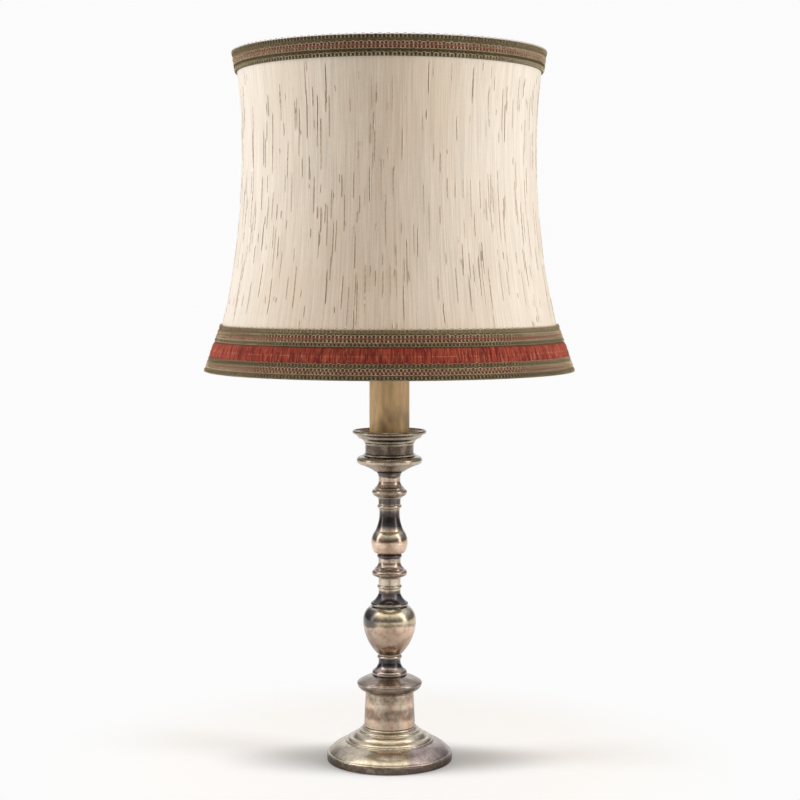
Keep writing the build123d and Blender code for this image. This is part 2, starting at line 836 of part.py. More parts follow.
glass_foot_z = 388.0
tip_sphere_r = 5.0
tip_rim_r = 4.3
with BuildPart() as bulb_glass:
    with BuildSketch(Plane.XZ):
        with BuildLine():
            Line((0, bulb_tip_z - glass_t), (0, bulb_tip_z))
            outer_rim = dome(bulb_tip_z, tip_sphere_r, tip_rim_r)
            inner_rim = dome(
                bulb_tip_z - glass_t, tip_sphere_r - glass_t, tip_rim_r - glass_t
            )
            ThreePointArc(outer_rim, (12.7, 452.0), (bulb_r, bulb_widest_z))
            ThreePointArc((bulb_r, bulb_widest_z), (15.3, 413.0), (bulb_neck_r, 402.0))
            Polyline(
                (bulb_neck_r, 402.0),
                (bulb_neck_r, glass_foot_z),
                (bulb_neck_r - glass_t, glass_foot_z),
                (bulb_neck_r - glass_t, 402.2),
                (13.2, 408.0),
                (15.0, 416.0),
                (15.6, 427.0),
                (14.5, 439.0),
                (11.7, 451.0),
                (7.4, 463.0),
                inner_rim,
            )
        make_face()
    revolve(axis=Axis.Z)
bulb_glass.part.label = "bulb_glass"

# ---- glass mount: a flare that closes the neck, and the stem that carries the filament ----
with BuildPart() as bulb_stem:
    with BuildSketch(Plane.XZ):
        with BuildLine():
            Polyline((0, 416.0), (3.2, 416.0), (3.6, 398.0))
            RadiusArc((3.6, 398.0), (bulb_neck_r - glass_t, 390.0), -10.0)
            Polyline((bulb_neck_r - glass_t, 390.0), (bulb_neck_r - glass_t, 388.8), (0, 388.8))
            Line((0, 388.8), (0, 416.0))
        make_face()
    revolve(axis=Axis.Z)
bulb_stem.part.label = "bulb_stem"

# ---- filament on its two lead wires ----
with BuildPart() as filament:
    with BuildLine(Plane.XZ) as filament_path:
        FilletPolyline(
            (-2.0, 416.0),
            (-9.0, 434.0),
            (0, 441.0),
            (9.0, 434.0),
            (2.0, 416.0),
            radius=1.5,
        )
    with BuildSketch(Plane(origin=filament_path.line @ 0, z_dir=filament_path.line % 0)):
        Circle(0.3)
    sweep(path=filament_path.line)
filament.part.label = "filament"

pieces = [
    foot,
    felt_pad,
    base_plate,
    ballast_weight,
    rod_washer,
    rod_nut,
    cord_bush,
    threaded_rod,
    pedestal_drum,
    pedestal_cap,
    lower_collar,
    vase,
    vase_cap,
    lower_knop,
    baluster,
    upper_knop,
    candle_cup,
    drip_pan,
    centring_disc,
    stack_nut,
    candle_sleeve,
    sleeve_cap,
    lampholder_base,
    contact_block,
    terminal_screws,
    screw_shell,
    centre_contact,
    lampholder_skirt,
    rest_ring,
    shade_ring_nut,
    fitter_ring,
    bottom_wire,
    top_wire,
    spider_arms,
    shade_liner,
    shade_fabric,
    top_gimp,
    upper_gimp,
    velvet_band,
    lower_gimp,
    bulb_contact,
    bulb_insulator,
    bulb_cap,
    bulb_glass,
    bulb_stem,
    filament,
]
for piece in pieces:
    export_step(piece.part, f"parts/{piece.part.label}.step")
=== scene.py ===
"""Dresses the candlestick lamp's frame: silk, braid, velvet, worn silver plate and the stage."""

from math import atan2, cos, hypot, pi, radians, sin, tau
from random import Random

import bmesh
import bpy
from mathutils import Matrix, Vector


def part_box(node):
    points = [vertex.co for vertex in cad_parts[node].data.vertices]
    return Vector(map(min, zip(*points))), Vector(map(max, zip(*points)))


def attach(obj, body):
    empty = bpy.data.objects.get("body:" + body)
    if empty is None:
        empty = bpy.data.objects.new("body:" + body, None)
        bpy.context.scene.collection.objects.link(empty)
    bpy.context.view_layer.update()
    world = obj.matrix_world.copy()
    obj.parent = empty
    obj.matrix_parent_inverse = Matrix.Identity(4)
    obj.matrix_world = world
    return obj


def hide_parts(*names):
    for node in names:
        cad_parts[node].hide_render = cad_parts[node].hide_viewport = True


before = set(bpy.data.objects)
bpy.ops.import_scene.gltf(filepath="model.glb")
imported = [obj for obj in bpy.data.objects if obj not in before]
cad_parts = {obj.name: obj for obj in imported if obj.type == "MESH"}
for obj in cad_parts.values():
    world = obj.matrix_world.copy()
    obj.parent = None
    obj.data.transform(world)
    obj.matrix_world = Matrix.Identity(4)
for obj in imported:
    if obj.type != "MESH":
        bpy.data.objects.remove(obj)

bl_info = {
    "name": "Candlestick Lamp",
    "version": (1, 0, 0),
    "blender": (4, 5, 0),
    "location": "3D View > Sidebar > Lamp",
    "description": "Covers, trims and finishes a turned candlestick lamp with a waisted shade",
    "category": "Object",
}

MM = 0.001
VELVET_LIFT = 2.3 * MM  # the velvet is sewn this much above its CAD band
HEADING = 1.5 * MM  # the upper braid ends this much above its CAD band
TRIM_LOW = 37 * MM  # the trims cover this much of the silk from its lower edge up
TRIM_HIGH = 17 * MM  # and this much from its upper edge down
SEAM = 0.08 * MM  # a trim's back face lies this far off the silk
SILK_THICKNESS = 0.5 * MM
TAPE_THICKNESS = 1.1 * MM
THREAD_OUT = 1.25 * MM  # the braid's straight threads lie this far off the silk
LOOP_OUT = 1.45 * MM  # and its loops this far
SLUB_OUT = 0.04 * MM  # a slub's middle lies this far off the silk
AROUND_STEPS = 256  # faces round the silk and the tapes
SMALLEST_SHEET = 0.0101  # the least flat width that declare_cloth works out; the least width that a sheet may be declared with
# Radii, in millimetres, of the cylinders that the cloths' patterns lie on.
SILK_ROLL, VELVET_ROLL, TAPE_ROLL = 125.0, 150.0, 140.0
WHITE = (0.97, 0.97, 0.97, 1.0)


# ---- settings ---------------------------------------------------------------------------------
def colour(name, default, description):
    """A colour setting, in linear red, green and blue."""
    return bpy.props.FloatVectorProperty(
        name=name, description=description, subtype="COLOR", size=3, min=0, max=1, default=default
    )


def length(name, default, description):
    """A length setting in metres."""
    return bpy.props.FloatProperty(
        name=name, description=description, default=default, min=0, unit="LENGTH", precision=5
    )


class ShadeSettings(bpy.types.PropertyGroup):
    """Sizes and colours of the shade's cover and trims."""

    silk: colour("Silk", (0.82, 0.78, 0.715), "Ground colour of the shade's silk")
    slub: colour("Slub", (0.40, 0.275, 0.16), "Colour of the thick threads in the silk")
    slub_count: bpy.props.IntProperty(
        name="Slubs", description="Thick threads round the whole shade", default=780, min=0
    )
    slub_thread: length("Slub thread", 0.00022, "Half the thickness of the thickest slub")
    slub_length: length("Longest slub", 0.034, "Length of the longest slub")
    velvet: colour("Velvet", (0.125, 0.010, 0.008), "Colour of the velvet's flattened pile")
    # the lighter velvet colour is painted sheen on the raised pile
    velvet_painted_sheen: colour("Velvet light", (0.36, 0.066, 0.040), "Colour of the velvet's raised pile")
    rib_pitch: length("Velvet rib", 0.0019, "Distance between ribs of the velvet")
    khaki: colour("Khaki", (0.47, 0.40, 0.27), "Colour of the braid's edge loops")
    olive: colour("Olive", (0.105, 0.085, 0.032), "Colour of the braid's dark rows")
    rose: colour("Rose", (0.31, 0.085, 0.064), "Colour of the braid's middle rows")
    cream: colour("Cream", (0.88, 0.70, 0.49), "Colour of the braid's light loops")
    loop_pitch: length("Loop pitch", 0.0031, "Distance between the braid's loops")
    loop_thread: length("Loop thread", 0.00025, "Half the thickness of the braid's thread")


class MetalSettings(bpy.types.PropertyGroup):
    """Colours of the worn silver plate."""

    silver: colour("Silver", (0.53, 0.46, 0.36), "Aged silver plate")
    gold: colour("Yellowed", (0.49, 0.425, 0.295), "Silver plate that has yellowed")
    copper: colour("Copper", (0.66, 0.47, 0.355), "Copper where the plate has worn thin")
    mauve: colour("Mauve", (0.30, 0.235, 0.215), "Light purple-brown tarnish")
    brown: colour("Brown", (0.13, 0.092, 0.065), "Brown tarnish")
    tarnish: colour("Tarnish", (0.034, 0.034, 0.046), "Blue-black tarnish")
    sleeve: colour("Sleeve", (0.57, 0.40, 0.215), "Parchment of the candle sleeve")


class StageSettings(bpy.types.PropertyGroup):
    """Camera and lights."""

    distance: length("Camera distance", 1.481, "From the camera to the lamp's axis")
    height: length("Camera height", 0.4047, "Height of the camera over the floor")
    offset: length("Camera offset", 0.0087, "How far the camera stands right of the lamp's axis")
    tilt: bpy.props.FloatProperty(
        name="Camera tilt", description="Downward tilt", default=radians(4.004), subtype="ANGLE"
    )
    lens: bpy.props.FloatProperty(
        name="Lens", description="Focal length", default=81.0, unit="CAMERA"
    )
    side_power: bpy.props.FloatProperty(
        name="Side lamps", description="Power of each side lamp", default=14.0, unit="POWER"
    )
    fill: colour("Fill", (0.46, 0.325, 0.20), "Soft light from all round")


# ---- shader maths -----------------------------------------------------------------------------
class Wire:
    """One output socket of a material, so that its maths reads as plain expressions."""

    def __init__(self, tree, socket):
        self.tree = tree
        self.socket = socket

    def math(self, operation, *values):
        """Adds one Math node."""
        return self.node("ShaderNodeMath", {"operation": operation}, dict(enumerate(values)))

    def node(self, kind, settings=None, sockets=None, output=0):
        """Adds any node: its settings first, then the values or wires of its sockets."""
        made = self.tree.nodes.new(kind)
        for name, value in (settings or {}).items():
            if name == "stops":
                lay_stops(made.color_ramp, value)
            else:
                setattr(made, name, value)
        for name, value in (sockets or {}).items():
            if isinstance(value, Wire):
                self.tree.links.new(value.socket, made.inputs[name])
            else:
                made.inputs[name].default_value = value
        return Wire(self.tree, made.outputs[output] if made.outputs else None)

    def __add__(self, other):
        return self.math("ADD", self, other)

    def __radd__(self, other):
        return self.math("ADD", other, self)

    def __sub__(self, other):
        return self.math("SUBTRACT", self, other)

    def __rsub__(self, other):
        return self.math("SUBTRACT", other, self)

    def __mul__(self, other):
        return self.math("MULTIPLY", self, other)

    def __rmul__(self, other):
        return self.math("MULTIPLY", other, self)

    def __truediv__(self, other):
        return self.math("DIVIDE", self, other)

    def __rtruediv__(self, other):
        return self.math("DIVIDE", other, self)

    def __abs__(self):
        return self.math("ABSOLUTE", self)

    def root(self):
        """The square root."""
        return self.math("SQRT", self)

    def siblings(self):
        """Every output of the same node, by name."""
        return {output.name: Wire(self.tree, output) for output in self.socket.node.outputs}

    def show(self, kind):
        """Makes this shader the surface of the material or world."""
        self.node(kind, sockets={"Surface": self})

    def step(self, low, high):
        """0 below low and 1 above high, smooth between; the other way when low is above high."""
        sockets = {"Value": self, "From Min": min(low, high), "From Max": max(low, high)}
        sockets["To Min"] = 0.0 if low < high else 1.0
        sockets["To Max"] = 1.0 - sockets["To Min"]
        return self.node("ShaderNodeMapRange", {"interpolation_type": "SMOOTHSTEP"}, sockets)

    def sine(self):
        """A wave from 0 to 1 along this value."""
        return self.math("SINE", self) * 0.5 + 0.5


def lay_stops(ramp, stops):
    """Sets a colour ramp's stops from (place, colour) pairs."""
    while len(ramp.elements) > 1:
        ramp.elements.remove(ramp.elements[-1])
    for number, (place, shade) in enumerate(stops):
        element = ramp.elements[0] if number == 0 else ramp.elements.new(place)
        element.position = place
        element.color = (*shade, 1.0)


def empty_tree(owner):
    """Clears the nodes of a material or world, and gives a wire to build new ones with."""
    owner.use_nodes = True
    owner.node_tree.nodes.clear()
    return Wire(owner.node_tree, None)


class Finish:
    """A material under construction, with its shader and the places on the object."""

    def __init__(self, name, **values):
        self.material = bpy.data.materials.new(name)
        start = empty_tree(self.material)
        self.tree = start.tree
        self.place = start.node("ShaderNodeTexCoord", output="Object")
        surface = start.node("ShaderNodeBsdfPrincipled")
        surface.show("ShaderNodeOutputMaterial")
        self.shader = surface.socket.node
        self.set(**values)

    def set(self, **values):
        """Sets the shader's sockets, named with underscores for spaces."""
        for name, value in values.items():
            socket = self.shader.inputs[name.replace("_", " ").title().replace("Ior", "IOR")]
            if isinstance(value, Wire):
                self.tree.links.new(value.socket, socket)
            elif hasattr(value, "__len__") and len(value) == 3:
                socket.default_value = (*value, 1.0) if len(socket.default_value) == 4 else value
            else:
                socket.default_value = value

    def axes(self):
        """The three coordinates in millimetres."""
        parts = self.place.node("ShaderNodeSeparateXYZ", sockets={0: self.place}).siblings()
        return [parts[axis] * 1000.0 for axis in "XYZ"]

    def unroll(self, radius):
        """Moves the places onto an upright cylinder, so that noise follows the cloth."""
        x, y, z = self.axes()
        share = radius / (x * x + y * y).root() * MM
        sockets = {"X": x * share, "Y": y * share, "Z": z * MM}
        self.place = x.node("ShaderNodeCombineXYZ", sockets=sockets)

    def noise(self, scale, stretch=(1, 1, 1), detail=3.0, roughness=0.55, seed=0.0):
        """Noise, where scale is in patches per metre and stretch makes them longer."""
        squeezed = self.place.node(
            "ShaderNodeMapping",
            sockets={
                "Vector": self.place,
                "Location": (seed, seed * 0.7, seed * 1.3),
                "Scale": tuple(1 / share for share in stretch),
            },
        )
        sockets = {"Vector": squeezed, "Scale": scale, "Detail": detail, "Roughness": roughness}
        return self.place.node("ShaderNodeTexNoise", sockets=sockets, output="Fac")

    def mix(self, share, first, second):
        """A colour between two colours."""
        shades = [value if isinstance(value, Wire) else (*value, 1.0) for value in (first, second)]
        # The Mix node's colour sockets are its inputs 6 and 7 and its output 2.
        sockets = {0: share, 6: shades[0], 7: shades[1]}
        return self.place.node("ShaderNodeMix", {"data_type": "RGBA"}, sockets, output=2)

    def bump(self, height, depth):
        """Relief that is depth metres deep where height goes from 0 to 1."""
        sockets = {"Height": height, "Distance": depth, "Strength": 1.0}
        self.set(normal=self.place.node("ShaderNodeBump", sockets=sockets))


def tint(shade, factor):
    """A colour made lighter or darker."""
    return tuple(min(1.0, channel * factor) for channel in shade)


def dress(piece, material):
    """Gives a piece or a CAD node its one material."""
    piece.data.materials.clear()
    piece.data.materials.append(material)


# ---- shapes that follow the shade -------------------------------------------------------------
def silk_levels():
    """The silk's outer face as (height, radius) pairs, read from the frame's solid."""
    widest = {}
    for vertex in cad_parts["shade_fabric"].data.vertices:
        level = round(vertex.co.z, 5)
        widest[level] = max(widest.get(level, 0), hypot(vertex.co.x, vertex.co.y))
    return sorted(widest.items())


LEVELS = silk_levels()
SHADE_LOW = LEVELS[0][0]
SHADE_HIGH = LEVELS[-1][0]


def silk_radius(z):
    """The silk's outer radius at a height."""
    below = [pair for pair in LEVELS if pair[0] <= z] or LEVELS[:1]
    above = [pair for pair in LEVELS if pair[0] >= z] or LEVELS[-1:]
    (z0, r0), (z1, r1) = below[-1], above[0]
    share = 0 if z1 == z0 else (z - z0) / (z1 - z0)
    return r0 + share * (r1 - r0)


def on_silk(z, out):
    """A point out metres off the silk, as (radius, height), square to its slope."""
    rise = 1 * MM
    slope = (silk_radius(z + rise) - silk_radius(z - rise)) / (2 * rise)
    flat = hypot(1, slope)
    return silk_radius(z) + out / flat, z - out * slope / flat


def around(point, angle):
    """A (radius, height) pair turned round the lamp's axis."""
    radius, z = point
    return Vector((radius * cos(angle), radius * sin(angle), z))


def band_edges(node):
    """The lowest and highest place of a CAD band."""
    low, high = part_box(node)
    return low.z, high.z


def velvet_edges():
    """The velvet's lower and upper edge at the silk."""
    return band_edges("lower_gimp")[1] + VELVET_LIFT, band_edges("upper_gimp")[0] + VELVET_LIFT


def braid_edges(node):
    """A braid's lower and upper edge at the silk."""
    if node == "lower_gimp":
        return SHADE_LOW, velvet_edges()[0]
    if node == "upper_gimp":
        return velvet_edges()[1], band_edges(node)[1] + HEADING
    return band_edges(node)[0], SHADE_HIGH


def finish_mesh(name, bm, body, material):
    """Makes the piece from its bmesh, with its faces outwards, and puts it on its body."""
    bmesh.ops.remove_doubles(bm, verts=bm.verts, dist=1e-7)
    bmesh.ops.recalc_face_normals(bm, faces=bm.faces)
    for face in bm.faces:
        face.smooth = True
    mesh = bpy.data.meshes.new(name)
    bm.to_mesh(mesh)
    bm.free()
    return finish_piece(bpy.data.objects.new(name, mesh), body, material)


def finish_piece(piece, body, material):
    """Gives a piece its material and body."""
    bpy.context.scene.collection.objects.link(piece)
    dress(piece, material)
    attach(piece, body)
    return piece


def spun_band(name, outline, steps, body, material, shape=None):
    """A closed (radius, height) outline spun about the lamp's axis; shape then moves points."""
    bm = bmesh.new()
    corners = [bm.verts.new(around(point, 0)) for point in outline]
    edges = [bm.edges.new(pair) for pair in zip(corners, corners[1:] + corners[:1])]
    bmesh.ops.spin(
        bm,
        geom=corners + edges,
        cent=(0, 0, 0),
        axis=(0, 0, 1),
        angle=tau,
        steps=steps,
        use_merge=True,
    )
    if shape:
        for vertex in bm.verts:
            vertex.co = shape(vertex.co)
    return finish_mesh(name, bm, body, material)


def band_outline(low, high, inner, outer, rows):
    """A band's outline on the silk, from its low to its high edge and back."""
    heights = [low + (high - low) * row / (rows - 1) for row in range(rows)]
    outside = [on_silk(z, outer(row / (rows - 1))) for row, z in enumerate(heights)]
    inside = [on_silk(z, inner) for z in heights]
    return outside + inside[::-1]


def threads(name, lines, thickness, body, material, closed=True):
    """Round threads along lines of (point, share of the thickness)."""
    curve = bpy.data.curves.new(name, "CURVE")
    curve.dimensions = "3D"
    curve.bevel_depth = thickness
    curve.bevel_resolution = 0
    curve.use_fill_caps = not closed
    for line in lines:
        spline = curve.splines.new("POLY")
        spline.points.add(len(line) - 1)
        spline.use_cyclic_u = closed
        for point, (place, share) in zip(spline.points, line):
            point.co = (*place, 1)
            point.radius = share
    drawn = bpy.data.objects.new(name + "_line", curve)
    bpy.context.scene.collection.objects.link(drawn)
    bpy.context.view_layer.update()
    mesh = bpy.data.meshes.new_from_object(drawn)
    mesh.name = name
    bpy.data.objects.remove(drawn)
    bpy.data.curves.remove(curve)
    mesh.shade_smooth()
    return finish_piece(bpy.data.objects.new(name, mesh), body, material)


def declare_cloth(low, high):
    """Works out a band's area and flat size along the silk, and keeps neither."""
    steps = 60
    heights = [low + (high - low) * step / steps for step in range(steps + 1)]
    rims = [silk_radius(z) for z in heights]
    slants = [hypot(r1 - r0, (high - low) / steps) for r0, r1 in zip(rims, rims[1:])]
    area = sum(pi * (r0 + r1) * slant for r0, r1, slant in zip(rims, rims[1:], slants))
    flat = (tau * max(rims), max(sum(slants), SMALLEST_SHEET))
    min(area, flat[0] * flat[1])


# ---- the shade's silk -------------------------------------------------------------------------
AGED_SILK = (0.66, 0.55, 0.40)
SHORTEST_SLUB = 0.12  # of the longest
SLUB_SWAY = 0.2 * MM  # how far a slub's ends lie to the side
SLUB_STEP = 1.8 * MM  # between the points of a slub's line
THINNEST = 0.08  # of the thickest slub, where one runs out


def silk_finish(settings):
    """Ivory silk: fine upright threads, a weave, and soft streaks of tone."""
    made = Finish("ivory_silk", sheen_weight=0.25, sheen_roughness=0.4)
    made.unroll(SILK_ROLL)
    z = made.axes()[2]
    threads_tone = made.noise(900, (1, 1, 40), detail=2, roughness=0.6)
    streaks = made.noise(160, (1, 1, 14), detail=3, roughness=0.6, seed=3.1)
    weave = made.noise(1100, detail=2, roughness=0.7, seed=6.3)
    cloud = made.noise(14, (1, 1, 1.6), detail=3, seed=7.7)
    weft = (z * 9.0).sine() * made.noise(700, detail=1, seed=1.9)
    tone = threads_tone * 0.50 + streaks * 0.25 + weave * 0.25
    warm = made.mix(tone.step(0.36, 0.62), tint(settings.silk, 0.84), tint(settings.silk, 1.04))
    aged = made.mix(cloud.step(0.35, 0.75) * 0.35, warm, AGED_SILK)
    made.set(base_color=aged, roughness=threads_tone * 0.2 + 0.5)
    made.bump(threads_tone * 0.7 + weft * 0.3, 0.00025)
    return made.material


def slub_finish(name, shade):
    """Thick raw thread, whose tone changes along it."""
    made = Finish("silk_slub_" + name, roughness=0.7, sheen_weight=0.2)
    tone = made.noise(60, (1, 1, 3), detail=2).step(0.35, 0.65)
    lights = made.noise(1500, (1, 1, 5), detail=1, seed=5.0).step(0.55, 0.75)
    thread = made.mix(tone, tint(shade, 0.75), tint(shade, 1.35))
    made.set(base_color=made.mix(lights * 0.3, thread, tint(shade, 1.7)))
    made.bump(lights, 0.0001)
    return made.material


def slub_pair(rng, settings):
    """One slub: a dark and a pale upright thread side by side that swell, thin and sway, partly
    painted shade and highlight.
    """
    # The powers make short slubs, and slubs low on the shade, the commonest.
    span = settings.slub_length * (SHORTEST_SLUB + (1 - SHORTEST_SLUB) * rng.random() ** 1.2)
    low_edge = SHADE_LOW + TRIM_LOW
    high_edge = SHADE_HIGH - TRIM_HIGH - span
    z0 = low_edge + (high_edge - low_edge) * rng.random() ** 1.15
    angle = rng.random() * tau
    girth = rng.uniform(0.45, 1.0)
    sway = rng.uniform(-SLUB_SWAY, SLUB_SWAY)
    gap = rng.choice((-1, 1)) * rng.uniform(0.42, 0.60) * MM
    steps = max(5, round(span / SLUB_STEP))
    dark, pale = [], []
    for step in range(steps + 1):
        share = step / steps
        swell = (4 * share * (1 - share)) ** 0.2
        wobble = 1 + 0.30 * sin(2.1 * step + angle * 7)
        place = on_silk(z0 + span * share, SLUB_OUT)
        turn = angle + sway * sin(4 * share + angle) / place[0]
        dark.append((around(place, turn), max(THINNEST, girth * swell * wobble)))
        beside = turn + gap / place[0]
        pale.append((around(place, beside), max(THINNEST, 1.1 * girth * swell / wobble)))
    return dark, pale


class LAMP_OT_silk(bpy.types.Operator):
    """Covers the shade with slub silk"""

    bl_idname = "lamp.silk"
    bl_label = "Silk"

    def execute(self, context):
        settings = context.scene.lamp_shade
        silk = silk_finish(settings)
        outline = band_outline(SHADE_LOW, SHADE_HIGH, -SILK_THICKNESS, lambda share: 0.0, 56)
        cover = spun_band("silk_cover", outline, AROUND_STEPS, "shade", silk)
        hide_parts("shade_fabric")
        rng = Random(31)
        pairs = [slub_pair(rng, settings) for _ in range(settings.slub_count)]
        # The dark threads are partly the slubs' brown and partly their painted shadow side, the
        # pale ones partly a painted highlight.
        yarns = (("dark", settings.slub), ("pale", tint(settings.silk, 1.18)))
        slubs = [
            threads(
                "silk_slubs_" + name,
                lines,
                settings.slub_thread,
                "shade",
                slub_finish(name, shade),
                closed=False,
            )
            for (name, shade), lines in zip(yarns, zip(*pairs))
        ]
        declare_cloth(SHADE_LOW, SHADE_HIGH)
        return {"FINISHED"}


# ---- the velvet ribbon ------------------------------------------------------------------------
# Painted highlight on scattered hairs of the pile and along its crease.
PILE_HIGHLIGHT = (0.58, 0.28, 0.19)
PILE = (0.5, 1.45)  # the pile's thickness at its edges, and how much more it is between, in mm
CREASE = 0.35  # how deep the crease along the middle is, in mm
RIB = 0.16  # how far the ribs stand out and in, in mm
UNEVEN = 0.22  # how much that differs from rib to rib, in mm


def velvet_finish(settings):
    """Brick-red velvet: upright raised and flattened pile, with painted sheen and painted
    highlights.
    """
    made = Finish("velvet", roughness=0.85, sheen_weight=0.25, sheen_roughness=0.35)
    made.set(sheen_tint=(0.90, 0.45, 0.35))
    made.unroll(VELVET_ROLL)
    streaks = made.noise(620, (1, 1, 9), detail=3, roughness=0.7)
    broad = made.noise(70, (1, 1, 2), detail=2, seed=4.4)
    hairs = made.noise(1600, (1, 1, 12), detail=1, seed=8.2).step(0.58, 0.70)
    z = made.axes()[2]
    low, high = velvet_edges()
    middle = (low + high) / (2 * MM)
    crease = abs(z - middle).step(0.5, 0.1)
    # painted sheen: the lighter colour where the pile is raised
    lift = (streaks * 0.8 + broad * 0.2).step(0.40, 0.62)
    pile = made.mix(lift, settings.velvet, settings.velvet_painted_sheen)
    # painted highlights on scattered hairs and along the crease
    pale = hairs * 0.45 + crease * streaks.step(0.48, 0.58) * 0.5
    made.set(base_color=made.mix(pale, pile, PILE_HIGHLIGHT))
    made.bump(streaks, 0.0005)
    return made.material


class LAMP_OT_velvet(bpy.types.Operator):
    """Lays the velvet ribbon round the shade"""

    bl_idname = "lamp.velvet"
    bl_label = "Velvet"

    def execute(self, context):
        settings = context.scene.lamp_shade
        low, high = velvet_edges()
        columns = round(tau * silk_radius(low) / settings.rib_pitch) * 2

        def thick(share):
            crown = (4 * share * (1 - share)) ** 0.35
            crease = CREASE * max(0, 1 - abs(share - 0.5) * 14)
            return (PILE[0] + PILE[1] * crown - crease) * MM

        def ribbed(place):
            radius = hypot(place.x, place.y)
            angle = atan2(place.y, place.x)
            column = round(angle / tau * columns)
            if radius < silk_radius(place.z) + 0.45 * MM:  # the back face stays smooth
                return place
            rib = RIB if column % 2 else -RIB
            uneven = UNEVEN * sin(column * 12.9898) * sin(column * 0.37)
            share = (radius + (rib + uneven) * MM) / radius
            return Vector((place.x * share, place.y * share, place.z))

        outline = band_outline(low, high, SEAM, thick, 11)
        ribbon = spun_band(
            "velvet_ribbon", outline, columns, "shade", velvet_finish(settings), ribbed
        )
        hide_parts("velvet_band")
        declare_cloth(low, high)
        return {"FINISHED"}


# ---- the woven braid --------------------------------------------------------------------------
YARN_SHEEN = (1.0, 0.85, 0.6)
LOOP_REACH = 0.36  # how far a loop leans over its neighbours, in pitches
LOOP_DEPTH = 0.42 * MM  # how far it stands out and in
LOOP_CHANGE = 0.22  # how much loops in turn are larger and smaller
LOOP_POINTS = 12  # points of a loop's line
CORD_POINTS = 240  # points of a cord's line


def yarn_finish(name, shade):
    """Twisted yarn: short slanting lights over a matt thread, with specks of painted shade between
    loops.
    """
    made = Finish(name, roughness=0.75, sheen_weight=0.5, sheen_tint=YARN_SHEEN)
    twist = made.noise(2600, detail=2, roughness=0.7).step(0.42, 0.62)
    worn = made.noise(45, detail=2, seed=2.5).step(0.4, 0.7)
    # painted shade: dark specks for the gaps between the loops
    loop_gap_shade = made.noise(620, (1, 1, 0.8), detail=1, seed=7.1).step(0.56, 0.44)
    body = made.mix(twist, tint(shade, 0.62), tint(shade, 1.35))
    aged = made.mix(worn * 0.5, body, tint(shade, 1.5))
    made.set(base_color=made.mix(loop_gap_shade * 0.6, aged, tint(shade, 0.25)))
    made.bump(twist, 0.0001)
    return made.material


def tape_finish(name, rows):
    """The braid's ground: rows of dark thread, each from its upper edge down, partly painted shade
    under the loops.
    """
    made = Finish(name, roughness=0.85, sheen_weight=0.3, sheen_tint=YARN_SHEEN)
    made.unroll(TAPE_ROLL)
    z = made.axes()[2]
    weave = made.noise(1500, (1, 1, 0.6), detail=2, roughness=0.7)
    grain = weave.step(0.38, 0.66)
    ground = None
    for edge, shade in rows:
        # a quarter to most of the yarn's colour: partly the weave, partly painted shade under the
        # loops
        row = made.mix(grain, tint(shade, 0.25), tint(shade, 0.85))
        ground = row if ground is None else made.mix(z.step(edge + 0.25, edge - 0.25), ground, row)
    made.set(base_color=ground)
    made.bump(grain, 0.0003)
    return made.material


def loop_row(z, tall, pitch, mirrored):
    """A looped thread round the shade, like a row of joined rings, large and small in turn."""
    turns = 2 * round(pi * silk_radius(z) / pitch)
    steps = turns * LOOP_POINTS
    reach = LOOP_REACH * pitch * (-1 if mirrored else 1)
    line = []
    for step in range(steps):
        phase = tau * step / LOOP_POINTS
        size = 1 + LOOP_CHANGE * cos(phase / 2)
        place = on_silk(z + tall * size * cos(phase), LOOP_OUT + LOOP_DEPTH * size * sin(phase))
        angle = tau * step / steps + reach * sin(phase) / place[0]
        line.append((around(place, angle), 1.0))
    return line


def straight_row(z, share):
    """A plain cord laid round the shade."""
    place = on_silk(z, THREAD_OUT)
    return [(around(place, tau * step / CORD_POINTS), share) for step in range(CORD_POINTS)]


# Each braid's rows by yarn, as (kind, millimetres below the upper edge, size), where turned is a
# row of mirrored loops, a loop's size is half its height in millimetres and a cord's its thickness.
# The ground's rows are (millimetres below the upper edge, colour).
BRAIDS = {
    "top_gimp": {
        "khaki": [("loop", 0.8, 1.35)],
        "cream": [("loop", 6.0, 1.25), ("turned", 8.9, 1.25), ("loop", 14.0, 1.35)],
        "olive": [("cord", 2.9, 2.2), ("cord", 4.0, 1.6), ("turned", 11.5, 1.1)],
        "rose": [("cord", 7.45, 2.6)],
        "ground": [(0, "olive"), (4.8, "rose"), (10.2, "olive")],
    },
    "upper_gimp": {
        "khaki": [("loop", 0.9, 1.5), ("turned", 11.6, 0.95)],
        "cream": [("loop", 5.0, 1.15), ("turned", 8.6, 1.15)],
        "olive": [("cord", 3.2, 2.0), ("cord", 10.2, 1.8)],
        "rose": [("cord", 6.8, 2.4)],
        "ground": [(0, "khaki"), (2.6, "olive"), (4.4, "rose"), (9.6, "olive")],
    },
    "lower_gimp": {
        "khaki": [("loop", 0.5, 1.1), ("turned", 10.1, 1.15)],
        "cream": [("loop", 4.0, 1.05), ("turned", 6.7, 1.05)],
        "olive": [("cord", 2.2, 1.7), ("cord", 8.4, 1.8)],
        "rose": [("cord", 5.35, 1.9)],
        "ground": [(0, "olive"), (3.1, "rose"), (7.6, "olive")],
    },
}


